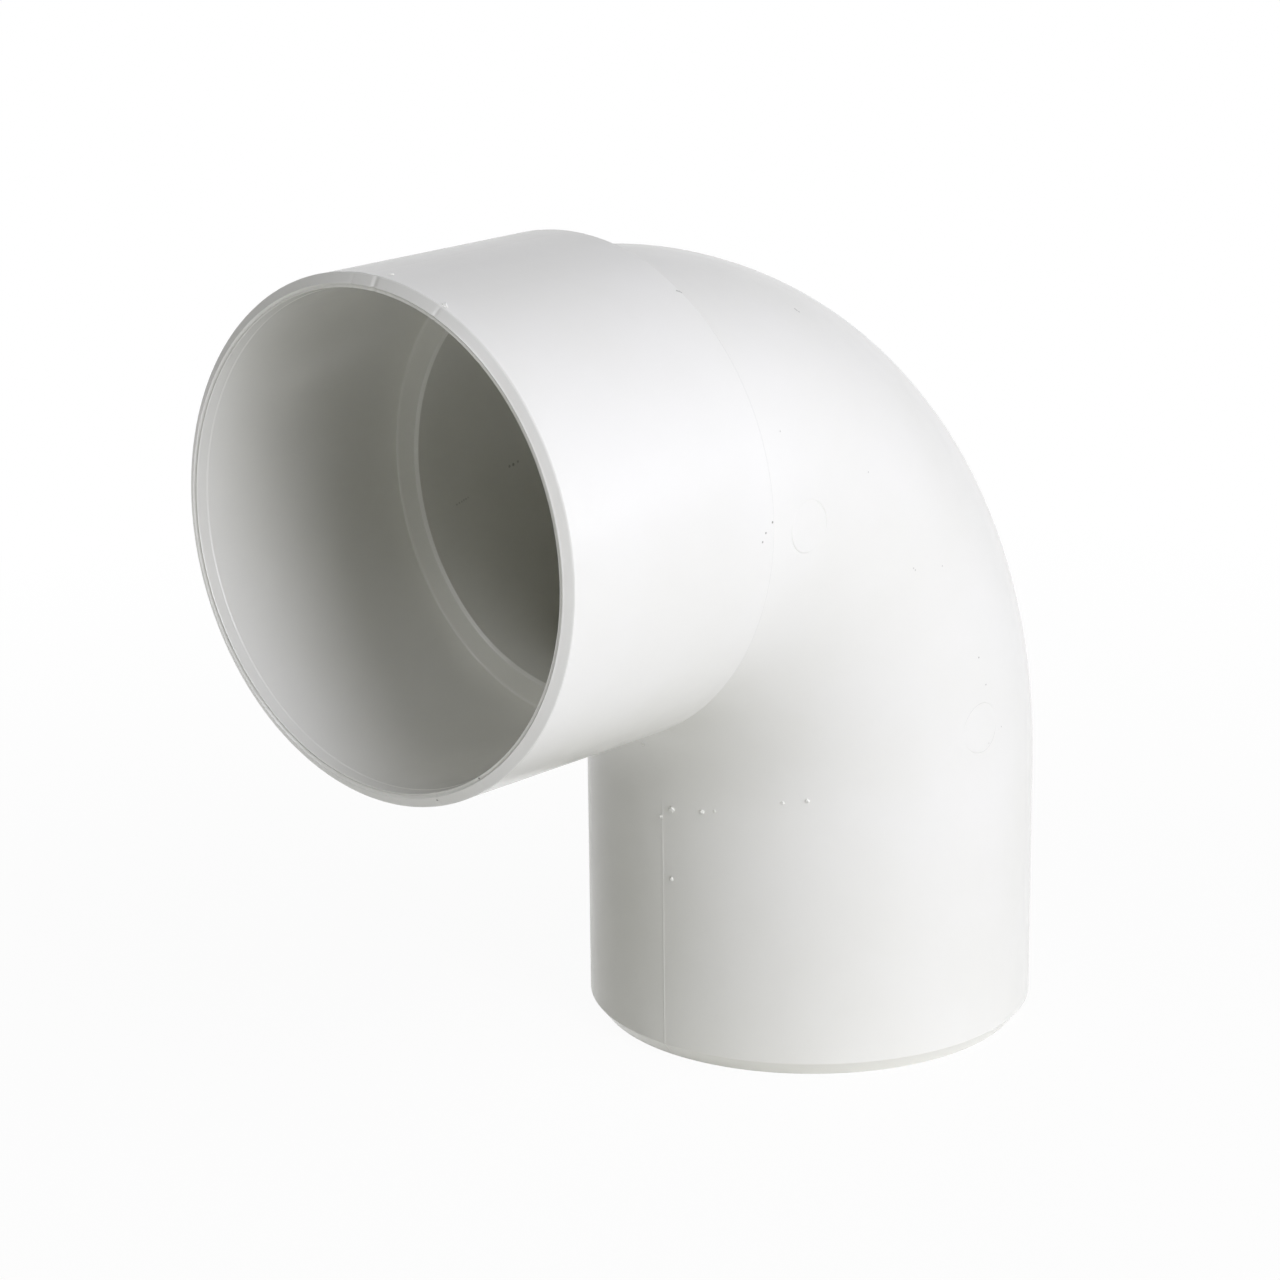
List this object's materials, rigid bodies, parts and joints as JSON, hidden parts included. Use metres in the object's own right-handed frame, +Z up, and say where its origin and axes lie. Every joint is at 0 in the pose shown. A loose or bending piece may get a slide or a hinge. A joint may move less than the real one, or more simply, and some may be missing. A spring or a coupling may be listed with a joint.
{
  "type": "pvc elbow fitting",
  "caption": "Right-angle PVC pipe elbow with a plain spigot end and a wider solvent-weld socket with an inner pipe stop.",
  "frame": {"origin": "middle of the footprint of the whole fitting, in the plane of the spigot's end face; the spigot's axis is 26.75 mm from it along +X", "axes": "+Z up along the spigot's axis, from its end face into the fitting; the socket opens along -X; +Y is square to the plane that holds both axes"},
  "size_m": [0.1164, 0.0672, 0.1182],
  "materials": {
    "white_pvc": "smooth gloss white PVC, as moulded"
  },
  "bodies": {
    "root": {"elbow_body": "white_pvc"}
  },
  "joints": []
}
